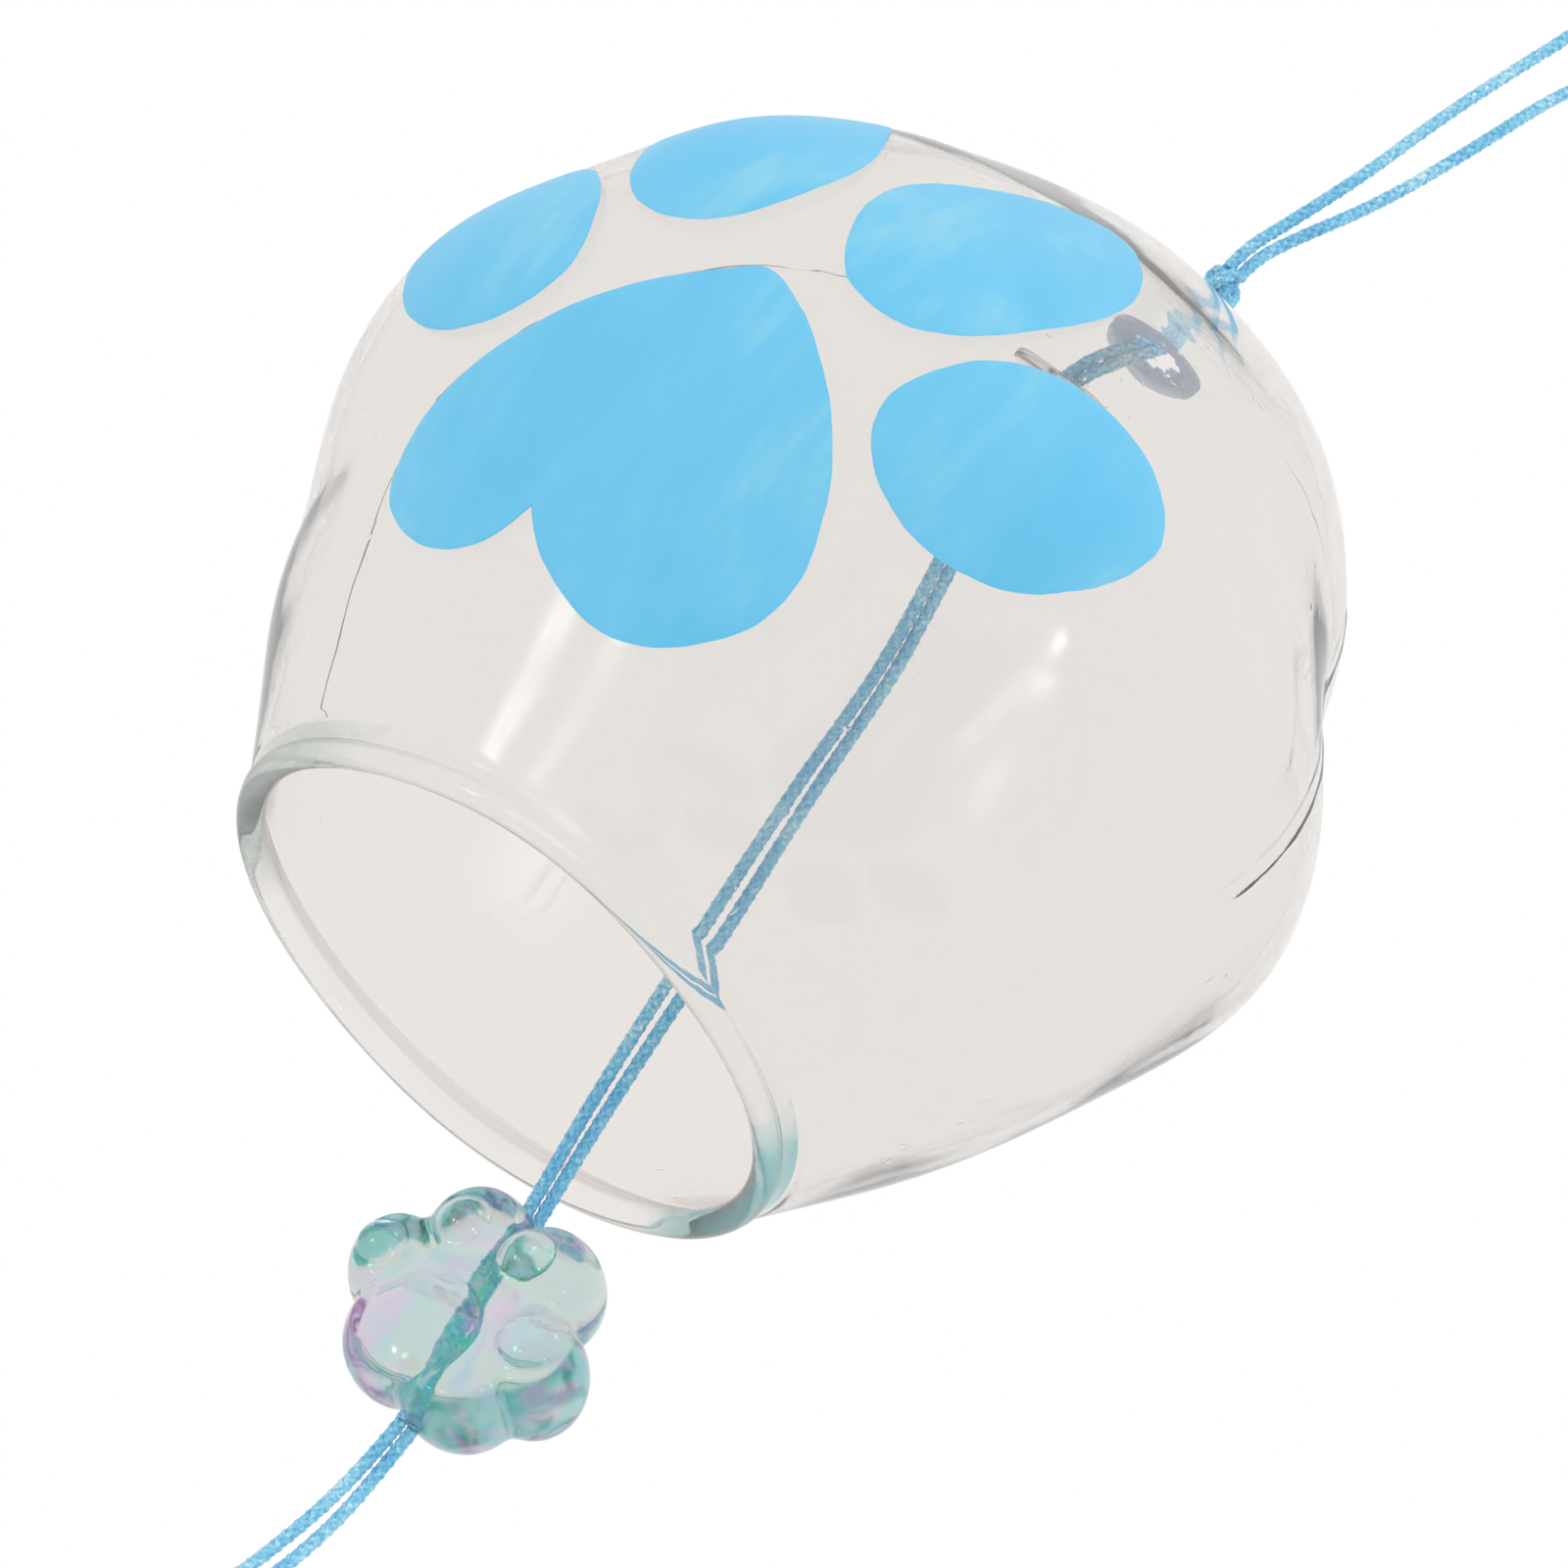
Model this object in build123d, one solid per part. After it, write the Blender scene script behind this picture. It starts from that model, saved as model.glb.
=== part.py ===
from build123d import *
import os
from math import acos, cos, exp, pi, radians, sin, tan

# A glass furin wind bell in the shape of a cat's paw, with the parts that hang on its cord.
# Millimetres, +Z up, the painted paw print faces -Y.
# The origin is the place on the hang loop where a hook holds it.

# Glass bell. Its crown leans a little to the side that the cord leaves on.
belly_radius = 41.2
mouth_radius = 25.0
bell_height = 79.9
bell_lean = 2.75
glass_wall = 1.25
lip_radius = 1.15
crown_hole_radius = 2.75
crown_hole_offset = 2.85
crown_cap_radius = 1.2
chip_radius = 1.3
chip_depth = 0.5
CHIP_SPREAD_SHARES = [-0.2, 0.0, 0.2, -0.1, 0.15, -0.2, 0.1]
cut_overrun = 1.0

# The outline from mouth to crown. Below the belly a point's radius is a share of the way
# from the mouth's radius to the belly's, above it a share of the belly's radius. The second
# share is the level.
LOWER_PROFILE_SHARES = [(0.0, 0.0), (0.265, 0.09), (0.494, 0.17), (0.698, 0.26), (0.877, 0.36), (1.0, 0.46)]
UPPER_PROFILE_SHARES = [
    (0.988, 0.56), (0.913, 0.66), (0.813, 0.75), (0.716, 0.83), (0.59, 0.9), (0.447, 0.955), (0.289, 0.985),
]
RING_STATION_SHARES = [
    0, 0.05, 0.11, 0.18, 0.26, 0.34, 0.42, 0.5, 0.58, 0.66, 0.73, 0.8, 0.86, 0.91, 0.95, 0.98, 1,
]
ring_points = 36

# The toes and the palm bulge out of that round outline: the turn from the front in degrees,
# the level as a share of the bell's height, and how far each one rises.
toe_turns = [-42, -17, 17, 42]
TOE_LEVEL_SHARES = [0.51, 0.71, 0.71, 0.51]
toe_rises = [1.8, 3.6, 1.7, 1.8]
toe_bulge_height = 12.0
toe_bulge_turn = 18
palm_level_share = 0.3
palm_rise = 1.2
palm_bulge_height = 14.0
palm_bulge_turn = 32
bulge_fade = 12.0

# Painted pads: a skin on the glass, cut to an outline drawn from the front. A pad's middle
# is a share of the belly's radius to the side and a share of the bell's height up.
paint_thickness = 0.18
toe_pad_width = 19.0
toe_pad_height = 18.4
middle_pad_width = 18.4
middle_pad_height = 25.6
heart_width = 36.4
heart_height = 29.2
OUTER_TOE_PLACE_SHARES = (0.583, 0.494)
MIDDLE_TOE_PLACE_SHARES = (0.245, 0.693)
HEART_PLACE_SHARES = (-0.034, 0.339)
OUTER_TOE_SHARES = [
    (-0.5, -0.22), (-0.43, 0.1), (-0.33, 0.27), (-0.17, 0.42), (0.0, 0.49), (0.18, 0.49), (0.36, 0.4),
    (0.49, 0.19), (0.48, -0.03), (0.38, -0.24), (0.22, -0.41), (0.03, -0.5), (-0.18, -0.51), (-0.36, -0.43),
]
MIDDLE_TOE_SHARES = [
    (-0.34, -0.34), (-0.45, -0.14), (-0.46, 0.04), (-0.31, 0.27), (-0.14, 0.43), (0.06, 0.51), (0.26, 0.45),
    (0.39, 0.33), (0.47, 0.17), (0.48, -0.08), (0.36, -0.33), (0.14, -0.47), (-0.08, -0.48), (-0.22, -0.44),
]
HEART_TIP_SHARES = [(-0.01, 0.455), (0.055, 0.5), (0.09, 0.49), (0.19, 0.42)]
HEART_RIGHT_SHARES = [
    (0.19, 0.42), (0.36, 0.23), (0.46, 0.0), (0.48, -0.17), (0.42, -0.34), (0.32, -0.45), (0.2, -0.5),
    (0.07, -0.47), (-0.02, -0.41), (-0.09, -0.32),
]
HEART_LEFT_SHARES = [
    (-0.09, -0.32), (-0.15, -0.42), (-0.25, -0.47), (-0.37, -0.44), (-0.46, -0.36), (-0.5, -0.23),
    (-0.47, -0.07), (-0.37, 0.1), (-0.24, 0.25), (-0.09, 0.39), (-0.01, 0.455),
]

# Cord: two strands side by side, with a small gap between them where they lie closest
cord_diameter = 1.05
strand_gap = 0.11
strand_offset = (cord_diameter + strand_gap) / 2
bore_clearance = 0.09
turn_share = 0.45

# Knots: a core with two slanted wraps round it
knot_height = 3.1
knot_core_radius = 1.3
knot_wrap_radius = 0.62
knot_wrap_slant = 16
knot_wrap_rise = 0.5

# Stop washer
washer_radius = 4.7
washer_thickness = 0.75
washer_hole_radius = 1.45
washer_tilt = 25
washer_edge_round = 0.2

# Paw bead: the outline is lobes of one thickness, with round cushions on the front face
bead_width = 21.4
bead_thickness = 9.0
bead_edge_round = 3.2
bead_edge_limit_share = 0.93
# Shares of the bead's width: across, up, the lobe's radius
BEAD_LOBE_SHARES = [
    (-0.336, -0.037, 0.164), (-0.14, 0.206, 0.178), (0.14, 0.206, 0.178), (0.336, -0.047, 0.164),
    (0.0, -0.093, 0.308), (-0.145, -0.224, 0.215), (0.145, -0.224, 0.215),
]
# Shares of the bead's width: across, up, the cushion's radius on the face, how far it stands out
BEAD_CUSHION_SHARES = [
    (-0.346, -0.042, 0.084, 0.061), (-0.168, 0.182, 0.089, 0.065), (0.112, 0.187, 0.098, 0.065),
    (0.36, -0.056, 0.107, 0.056), (-0.009, -0.206, 0.21, 0.075),
]
cushion_overlap = 0.6

# Tanzaku: the paper strip
strip_width = 35.0
strip_length = 95.0
strip_thickness = 0.5
strip_hole_radius = 1.65
strip_hole_inset = 5.0
strip_rest_gap = 0.08

# Everything on the cord lies in one upright plane, which is turned from the row's X. A place
# on it is how far sideways from the mouth's middle, and how high above the mouth.
cord_plane_turn = 30
crown_knot_place = (6.0, 88.1)
washer_place = (1.85, 72.0)
stop_knot_place = (1.8, 69.0)
bead_top_place = (12.7, -12.4)
bead_bottom_place = (15.7, -31.9)
strip_knot_place = (13.45, -57.2)

# The cord's routes between those pieces. The hang loop goes up one strand and down the
# other, as offsets from the crown knot.
LOOP_ROUTE = [
    (-0.58, 4.0), (0.0, 8.2), (2.0, 16.8), (3.9, 25.4), (6.2, 33.6), (7.9, 39.9), (8.9, 44.4), (9.15, 48.2),
    (9.15, 51.475), (11.3, 53.625), (14.5, 53.625), (16.65, 51.475), (16.65, 48.2), (15.2, 43.4),
    (11.2, 36.6), (7.6, 24.4), (4.6, 15.3), (1.5, 8.2), (0.58, 4.0),
]
# A doubled stretch is its middle line with half the distance between the strands there, as
# (sideways, height, half distance).
NECK_ROUTE = [(6.0, 82.3, 0.58), (4.0, 77.9, 0.6), (1.8, 73.4, 0.58)]
CLAPPER_ROUTE = [
    (1.8, 64.0, 0.58), (2.5, 58.5, 0.6), (4.0, 50.5, 0.58), (6.2, 41.0, 0.62), (7.3, 30.0, 0.72),
    (8.7, 17.0, 0.86), (10.8, -0.5, 0.74), (12.7, -12.4, 0.58), (14.2, -22.5, 0.58),
]
TAIL_ROUTE = [
    (15.6, -36.0, 0.7), (15.3, -41.5, 1.05), (14.4, -47.3, 1.1), (13.6, -51.4, 0.7), (13.45, -53.6, 0.58),
]
tail_start_gap = 0.2
# The strip loop, across the paper and down from the strip knot's middle.
STRIP_LOOP_ROUTE = [
    (-0.58, -3.7), (-2.2, -6.2), (-3.7, -9.1), (-3.7, -12.2), (-1.55, -14.35), (1.55, -14.35), (3.7, -12.2),
    (3.7, -9.1), (2.2, -6.2), (0.58, -3.7),
]

# The hook holds the loop at its top: how far that is above and beside the mouth's middle.
loop_rise = 53.1
loop_lean = 12.9
mouth_drop = crown_knot_place[1] + loop_rise
mouth_shift = crown_knot_place[0] + loop_lean


def at(sideways, height, depth=0):
    """The point of the row's frame for a place beside, above and behind the mouth's middle."""
    turn = radians(cord_plane_turn)
    across = sideways - mouth_shift
    return Vector(
        across * cos(turn) - depth * sin(turn),
        across * sin(turn) + depth * cos(turn),
        height - mouth_drop,
    )


def mouth_middle():
    """The middle of the mouth in the row's frame."""
    return at(0, 0)


# The bell's surface


def bell_profile():
    """The round outline from the mouth to the crown, in the plane of X and Z."""
    swell = belly_radius - mouth_radius
    lower = [(mouth_radius + share * swell, level * bell_height) for share, level in LOWER_PROFILE_SHARES]
    upper = [(share * belly_radius, level * bell_height) for share, level in UPPER_PROFILE_SHARES]
    points = [(r, 0, z) for r, z in lower + upper] + [(crown_cap_radius, 0, bell_height)]
    return Spline(*points)


def turned_from(turn, middle):
    """How far turn is from middle, in degrees, the short way round."""
    return (turn - middle + 180) % 360 - 180


def bulge(turn, height):
    """How far the toes and the palm push the wall out."""
    fade = min(1, max(0, (bell_height - height) / bulge_fade))
    total = 0
    for middle, level, rise in zip(toe_turns, TOE_LEVEL_SHARES, toe_rises):
        up = (height - level * bell_height) / toe_bulge_height
        around = turned_from(turn, middle) / toe_bulge_turn
        total += rise * exp(-(up**2) - around**2)
    up = (height - palm_level_share * bell_height) / palm_bulge_height
    around = turned_from(turn, 0) / palm_bulge_turn
    return fade * (total + palm_rise * exp(-(up**2) - around**2))


def ring(profile, station, inset, drop=0):
    """One level closed curve of the wall, inset from the outer surface."""
    point = profile @ station
    along = profile % station
    radius = point.X - inset * along.Z
    height = point.Z + inset * along.X
    shift = bell_lean * height / bell_height
    middle = at(shift, height - drop)
    points = []
    for index in range(ring_points):
        turn = index * 360 / ring_points
        reach = radius + bulge(turn, point.Z)
        points.append(middle + Vector(reach * sin(radians(turn)), -reach * cos(radians(turn)), 0))
    return Wire([Spline(*points, periodic=True)])


def bell_loft(inset, drop=0):
    """The solid inside the wall's surface at an inset, from mouth to crown."""
    profile = bell_profile()
    rings = [ring(profile, station, inset) for station in RING_STATION_SHARES]
    if drop:
        rings = [ring(profile, RING_STATION_SHARES[0], inset, drop)] + rings
    return Solid.make_loft(rings)


def glass_bell(outer):
    """The glass wall with its rolled lip and its rough crown hole."""
    inner = bell_loft(glass_wall, cut_overrun)
    lip = Pos(mouth_middle()) * Torus(mouth_radius - glass_wall / 2, lip_radius)
    crown = at(bell_lean + crown_hole_offset, bell_height)
    cut_height = glass_wall + chip_radius + cut_overrun
    hole = Pos(crown) * Cylinder(crown_hole_radius, 2 * cut_height)
    bell = (outer - inner) + lip - hole
    for index, spread in enumerate(CHIP_SPREAD_SHARES):
        turn = radians(index * 360 / len(CHIP_SPREAD_SHARES))
        reach = crown_hole_radius + spread * chip_radius
        place = crown + Vector(reach * cos(turn), reach * sin(turn), -glass_wall - chip_radius + chip_depth)
        bell -= Pos(place) * Sphere(chip_radius)
    return bell


# Painted pads


def outline(shares, width, height, place, mirror=1):
    """Closed outline points from the front, as places in the row's frame."""
    mouth = mouth_middle()
    middle = mouth.X + mirror * place[0] * belly_radius
    level = mouth.Z + place[1] * bell_height
    return [Vector(middle + mirror * across * width, 0, level + up * height) for across, up in shares]


def pad_from(face, skin):
    """The part of the skin on the front of the glass that lies behind an outline."""
    front = mouth_middle().Y
    reach = belly_radius + max(toe_rises) + cut_overrun
    prism = Pos(0, front, 0) * extrude(face, reach, dir=(0, -1, 0))
    return prism & skin


def smooth_face(points):
    return Face(Wire([Spline(*points, periodic=True)]))


def toe_faces():
    """The four toe outlines, from the left to the right."""
    outer = (OUTER_TOE_SHARES, toe_pad_width, toe_pad_height, OUTER_TOE_PLACE_SHARES)
    inner = (MIDDLE_TOE_SHARES, middle_pad_width, middle_pad_height, MIDDLE_TOE_PLACE_SHARES)
    left = [smooth_face(outline(*toe, mirror=-1)) for toe in (outer, inner)]
    right = [smooth_face(outline(*toe)) for toe in (inner, outer)]
    return left + right


def heart_face():
    """The palm pad: a blunt tip upwards, two lobes and a notch between them."""
    sizes = (heart_width, heart_height, HEART_PLACE_SHARES)
    edges = [HEART_TIP_SHARES, HEART_RIGHT_SHARES, HEART_LEFT_SHARES]
    return Face(Wire([Spline(*outline(shares, *sizes)) for shares in edges]))


# Cord


def corner_radii(points):
    """For each corner of a route, the largest arc that its runs allow."""
    radii = []
    for before, here, after in zip(points, points[1:], points[2:]):
        first, second = here - before, after - here
        half = acos(first.normalized().dot(second.normalized())) / 2
        radii.append(turn_share * min(first.length, second.length) / tan(half))
    return radii


def cord_tube(points, name):
    """A round cord along straight runs joined by tangent arcs."""
    radii = corner_radii(points)
    path = FilletPolyline(*points, radius=radii)
    section = Plane(origin=path @ 0, z_dir=path % 0) * Circle(cord_diameter / 2)
    tube = sweep(section, path=path)
    expected = pi * cord_diameter**2 / 4 * path.length
    print(name, "length", round(path.length, 1), "tightest radius", round(min(radii), 2))
    print(name, "volume as a share of its length's", round(tube.volume / expected, 4))
    return tube


def beside(place, up=0):
    """The end of a doubled stretch at a place, where its strands lie closest."""
    return (place[0], place[1] + up, strand_offset)


def strand(route, side, name):
    """One of the two strands beside a middle line: side is -1 or 1."""
    return cord_tube([at(across + side * half, up) for across, up, half in route], name)


def doubled_routes():
    """The doubled stretches, each from the face of one piece to the face of the next."""
    below = -knot_height / 2
    above = knot_height / 2
    return {
        "neck": [beside(crown_knot_place, below)] + NECK_ROUTE + [beside(stop_knot_place, above)],
        "clapper": [beside(stop_knot_place, below)] + CLAPPER_ROUTE + [beside(bead_bottom_place)],
        "tail": [beside(bead_bottom_place, -tail_start_gap)] + TAIL_ROUTE + [beside(strip_knot_place, above)],
    }


def hang_loop():
    x, z = crown_knot_place
    route = [(-strand_offset, knot_height / 2)] + LOOP_ROUTE + [(strand_offset, knot_height / 2)]
    return cord_tube([at(x + across, z + up) for across, up in route], "hang_loop")


def strip_loop():
    middle = at(*strip_knot_place)
    route = [(-strand_offset, -knot_height / 2)] + STRIP_LOOP_ROUTE + [(strand_offset, -knot_height / 2)]
    return cord_tube([middle + Vector(0, across, up) for across, up in route], "strip_loop")


def knot(place):
    """A knot of the doubled cord: a core with wraps that slant over each other."""
    middle = Pos(at(*place))
    shape = Cylinder(knot_core_radius, knot_height)
    for side in (-1, 1):
        wrap = Torus(knot_core_radius, knot_wrap_radius)
        shape += Pos(0, 0, side * knot_wrap_rise) * Rot(side * knot_wrap_slant, 0, 0) * wrap
    return middle * shape


# Pieces on the cord


def tilt_with_plane(angle):
    """A turn about the cord plane's sideways direction."""
    return Rot(0, 0, cord_plane_turn) * Rot(angle, 0, 0)


def stop_washer():
    """A clear disc that hangs askew on the doubled cord."""
    disc = Cylinder(washer_radius, washer_thickness)
    disc = fillet(disc.edges(), washer_edge_round)
    disc -= Cylinder(washer_hole_radius, washer_thickness + 2 * cut_overrun)
    return Pos(at(*washer_place)) * tilt_with_plane(washer_tilt) * disc


def rounded_puck(radius):
    """A disc that lies in the plane of X and Z, with round edges."""
    puck = Cylinder(radius, bead_thickness)
    edge_round = min(bead_edge_round, bead_edge_limit_share * min(radius, bead_thickness / 2))
    return Rot(90, 0, 0) * fillet(puck.edges(), edge_round)


def cushion(ring_radius, rise):
    """The part of a ball that stands out of the bead's front face."""
    ball = (ring_radius**2 + rise**2) / (2 * rise)
    depth = rise + cushion_overlap
    front = -bead_thickness / 2 - rise
    keep = Pos(0, front + depth / 2, 0) * Box(2 * ball, depth, 2 * ball)
    return (Pos(0, front + ball, 0) * Sphere(ball)) & keep


def paw_bead():
    """The clapper: lobes, front cushions and a slanted bore for the doubled cord."""
    lobes = [
        Pos(across * bead_width, 0, up * bead_width) * rounded_puck(radius * bead_width)
        for across, up, radius in BEAD_LOBE_SHARES
    ]
    cushions = [
        Pos(across * bead_width, 0, up * bead_width) * cushion(radius * bead_width, rise * bead_width)
        for across, up, radius, rise in BEAD_CUSHION_SHARES
    ]
    shape = Part() + lobes + cushions
    top, bottom = at(*bead_top_place), at(*bead_bottom_place)
    shape = Pos((top + bottom) / 2) * shape
    along = (bottom - top).normalized()
    bore_radius = strand_offset + cord_diameter / 2 + bore_clearance
    bore = Plane(origin=top - along * bead_thickness, z_dir=along) * Circle(bore_radius)
    return shape - extrude(bore, (bottom - top).length + 2 * bead_thickness)


def tanzaku():
    """The paper strip, which hangs by its hole on the strip loop."""
    loop_bottom = min(up for _, up in STRIP_LOOP_ROUTE) + cord_diameter / 2
    hole = at(*strip_knot_place) + Vector(0, 0, loop_bottom + strip_rest_gap - strip_hole_radius)
    middle = hole + Vector(0, 0, strip_hole_inset - strip_length / 2)
    strip = Pos(middle) * Box(strip_width, strip_thickness, strip_length)
    cut = Pos(hole) * Rot(90, 0, 0) * Cylinder(strip_hole_radius, strip_thickness + 2 * cut_overrun)
    return strip - cut


def build():
    """Every node's name with its solid."""
    outer = bell_loft(0)
    skin = bell_loft(-paint_thickness) - outer
    parts = {"glass_bell": glass_bell(outer)}
    for index, face in enumerate(toe_faces()):
        parts[f"toe_pad_{index + 1}"] = pad_from(face, skin)
    parts["heart_pad"] = pad_from(heart_face(), skin)
    parts["hang_loop"] = hang_loop()
    parts["crown_knot"] = knot(crown_knot_place)
    parts["stop_washer"] = stop_washer()
    parts["stop_knot"] = knot(stop_knot_place)
    for stretch, route in doubled_routes().items():
        for side, end in ((-1, "left"), (1, "right")):
            name = f"{stretch}_strand_{end}"
            parts[name] = strand(route, side, name)
    parts["paw_bead"] = paw_bead()
    parts["strip_knot"] = knot(strip_knot_place)
    parts["strip_loop"] = strip_loop()
    parts["tanzaku"] = tanzaku()
    return parts


os.makedirs("parts", exist_ok=True)
for name, shape in build().items():
    print(name, "solids", len(shape.solids()), "volume", round(shape.volume, 2), "valid", shape.is_valid)
    export_step(shape, f"parts/{name}.step")
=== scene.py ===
import math

import bmesh
import bpy
import numpy as np
from mathutils import Matrix, Vector


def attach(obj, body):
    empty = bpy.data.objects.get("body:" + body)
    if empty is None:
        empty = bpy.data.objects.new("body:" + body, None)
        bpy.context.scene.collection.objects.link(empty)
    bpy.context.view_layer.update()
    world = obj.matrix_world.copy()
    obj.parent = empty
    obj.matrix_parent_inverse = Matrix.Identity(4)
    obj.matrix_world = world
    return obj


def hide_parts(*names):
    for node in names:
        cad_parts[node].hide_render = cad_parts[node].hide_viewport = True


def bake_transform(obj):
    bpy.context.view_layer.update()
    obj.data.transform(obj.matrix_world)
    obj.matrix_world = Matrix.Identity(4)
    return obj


# A glass furin wind bell in the shape of a cat's paw, dressed over its CAD frame.
# Metres, +Z up, the painted paw print faces -Y, and a hook holds the cord at the origin.

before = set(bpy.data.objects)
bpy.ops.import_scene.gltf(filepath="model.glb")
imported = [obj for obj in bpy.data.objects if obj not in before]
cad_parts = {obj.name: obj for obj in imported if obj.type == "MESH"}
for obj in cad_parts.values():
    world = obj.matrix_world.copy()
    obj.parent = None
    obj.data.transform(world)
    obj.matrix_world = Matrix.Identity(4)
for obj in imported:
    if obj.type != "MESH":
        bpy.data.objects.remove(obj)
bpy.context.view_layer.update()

# Places: sideways in the cord's upright plane, and up, from the mouth's middle
cord_plane_turn = math.radians(30)
cord_plane_x, cord_plane_y = math.cos(cord_plane_turn), math.sin(cord_plane_turn)
crown_knot_place = (0.006, 0.0881)
washer_place = (0.00185, 0.072)
stop_knot_place = (0.0018, 0.069)
bead_top_place = (0.0127, -0.0124)
bead_bottom_place = (0.0157, -0.0319)
strip_knot_place = (0.01345, -0.0572)
mouth_drop = crown_knot_place[1] + 0.0531
mouth_shift = crown_knot_place[0] + 0.0129

# Glass bell
belly_radius = 0.0412
mouth_radius = 0.025
bell_height = 0.0799
bell_lean = 0.00275
glass_wall = 0.00125
lip_radius = 0.00115
crown_hole_radius = 0.00275
crown_hole_offset = 0.00285
crown_cap_radius = 0.0012
LOWER_PROFILE_SHARES = [(0.0, 0.0), (0.265, 0.09), (0.494, 0.17), (0.698, 0.26), (0.877, 0.36), (1.0, 0.46)]
UPPER_PROFILE_SHARES = [
    (0.988, 0.56), (0.913, 0.66), (0.813, 0.75), (0.716, 0.83), (0.59, 0.9), (0.447, 0.955), (0.289, 0.985),
]
# Each bulge: turn from the front in degrees, level share, rise, height, width in degrees
BULGES = [
    (-42, 0.51, 0.0018, 0.012, 18), (-17, 0.71, 0.0036, 0.012, 18), (17, 0.71, 0.0017, 0.012, 18),
    (42, 0.51, 0.0018, 0.012, 18), (0, 0.3, 0.0012, 0.014, 32),
]
bulge_fade = 0.012
# Columns round the bell in degrees, closer together at the two seams
TURNS = np.unique(np.concatenate([
    np.linspace(-180, 180, 241)[:-1],
    [side * 90 + way * step for side in (-1, 1) for way in (-1, 1) for step in (0.17, 0.35, 0.55, 0.8, 1.1)],
]))
wall_rows_count = 150
# The lip's section, in degrees from the outer wall to the inner; the walls start above it
LIP_ARC = (48, -228)
lip_rows_count = 19
wall_foot = lip_radius * 1.35
# The height over which the wall's unevenness sets in
lip_zone = 0.01
# The mouth isn't quite round: how far its far left side is drawn in
mouth_dent = 0.0013
mouth_dent_turn = -128.0
mouth_dent_width = 44.0
mouth_dent_height = 0.012
# The crown's hole: its chipped ledge, and the radius within which the wall leans over to it
hole_edge_rows_count = 5
hole_ledge_share = 0.3
hole_lean_radius = 0.02
# The mould's two seams: height above the mouth in millimetres, turn from the front in degrees
LEFT_SEAM = [
    (0, -82), (6, -84), (11, -95), (17, -100), (24, -97), (29, -94), (36, -89), (43, -83.5), (52, -80.5),
    (62, -79.5), (69, -82), (73, -85), (80, -90),
]
RIGHT_SEAM = [(0, 92), (12, 90), (27, 88.8), (38, 90), (49, 91.7), (62, 97), (72, 99), (77, 96), (80, 90)]
seam_rise = 0.00013
seam_width = 0.34
seam_reach = 26.0
seam_fade = 0.004
seam_top = 0.0785
right_seam_foot = 0.032
# The crease between two toes on the right: turn and height from one end to the other
CREASE_TURNS = (46.0, 82.0)
CREASE_HEIGHTS = (0.0525, 0.0465)
crease_depth = 0.0004
crease_half_width = 0.0026
# Soft swells and dents of the hand-blown wall: turn, height, rise, half height, width in degrees
SWELLS = [
    (-61, 0.031, 0.0012, 0.0075, 17), (-61, 0.0213, -0.0003, 0.0035, 16), (-70, 0.016, 0.0004, 0.006, 16),
    (-54, 0.041, 0.0006, 0.008, 14), (-30, 0.053, 0.0003, 0.007, 14), (-24, 0.059, 0.0008, 0.007, 14),
    (3, 0.0708, -0.0007, 0.006, 17), (74, 0.0725, 0.0009, 0.007, 22), (94, 0.054, -0.0005, 0.004, 12),
    (103, 0.0575, -0.0013, 0.0042, 16), (116, 0.042, 0.001, 0.009, 18), (150, 0.03, -0.0004, 0.009, 20),
]
wall_swell = 0.0001
ripple_rise = 0.0001
wall_change = 0.0002
# The lip's tint: the share across the mouth, by X and Y, and at its middle
LIP_ACROSS = (17.3, 10.0)
lip_middle_share = 0.44
lip_streaks = 0.12
glass_ior = 1.36

# Painted pads: offset and level as shares of the belly's radius and the bell's height
paint_thickness = 0.00013
paint_key = 0.00002
paint_full_share = 0.9
paint_sharp_angle = math.radians(40)
TOE_PAD_SIZE = (0.019, 0.0184)
MIDDLE_PAD_SIZE = (0.0184, 0.0256)
HEART_SIZE = (0.0364, 0.0292)
OUTER_TOE_PLACE = (0.583, 0.494)
MIDDLE_TOE_PLACE = (0.245, 0.693)
HEART_PLACE = (-0.034, 0.339)
OUTER_TOE_SHARES = [
    (-0.5, -0.22), (-0.43, 0.1), (-0.33, 0.27), (-0.17, 0.42), (0.0, 0.49), (0.18, 0.49), (0.36, 0.4),
    (0.49, 0.19), (0.48, -0.03), (0.38, -0.24), (0.22, -0.41), (0.03, -0.5), (-0.18, -0.51), (-0.36, -0.43),
]
MIDDLE_TOE_SHARES = [
    (-0.34, -0.34), (-0.45, -0.14), (-0.46, 0.04), (-0.31, 0.27), (-0.14, 0.43), (0.06, 0.51), (0.26, 0.45),
    (0.39, 0.33), (0.47, 0.17), (0.48, -0.08), (0.36, -0.33), (0.14, -0.47), (-0.08, -0.48), (-0.22, -0.44),
]
HEART_TIP_SHARES = [(-0.01, 0.455), (0.055, 0.5), (0.09, 0.49), (0.19, 0.42)]
HEART_RIGHT_SHARES = [
    (0.19, 0.42), (0.36, 0.23), (0.46, 0.0), (0.48, -0.17), (0.42, -0.34), (0.32, -0.45), (0.2, -0.5),
    (0.07, -0.47), (-0.02, -0.41), (-0.09, -0.32),
]
HEART_LEFT_SHARES = [
    (-0.09, -0.32), (-0.15, -0.42), (-0.25, -0.47), (-0.37, -0.44), (-0.46, -0.36), (-0.5, -0.23),
    (-0.47, -0.07), (-0.37, 0.1), (-0.24, 0.25), (-0.09, 0.39), (-0.01, 0.455),
]

# Stop washer
washer_radius = 0.0047
washer_hole_radius = 0.00145
washer_half_thickness = 0.000375
washer_edge_radius = 0.0002
washer_tilt = math.radians(25)
washer_sides = 96

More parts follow.
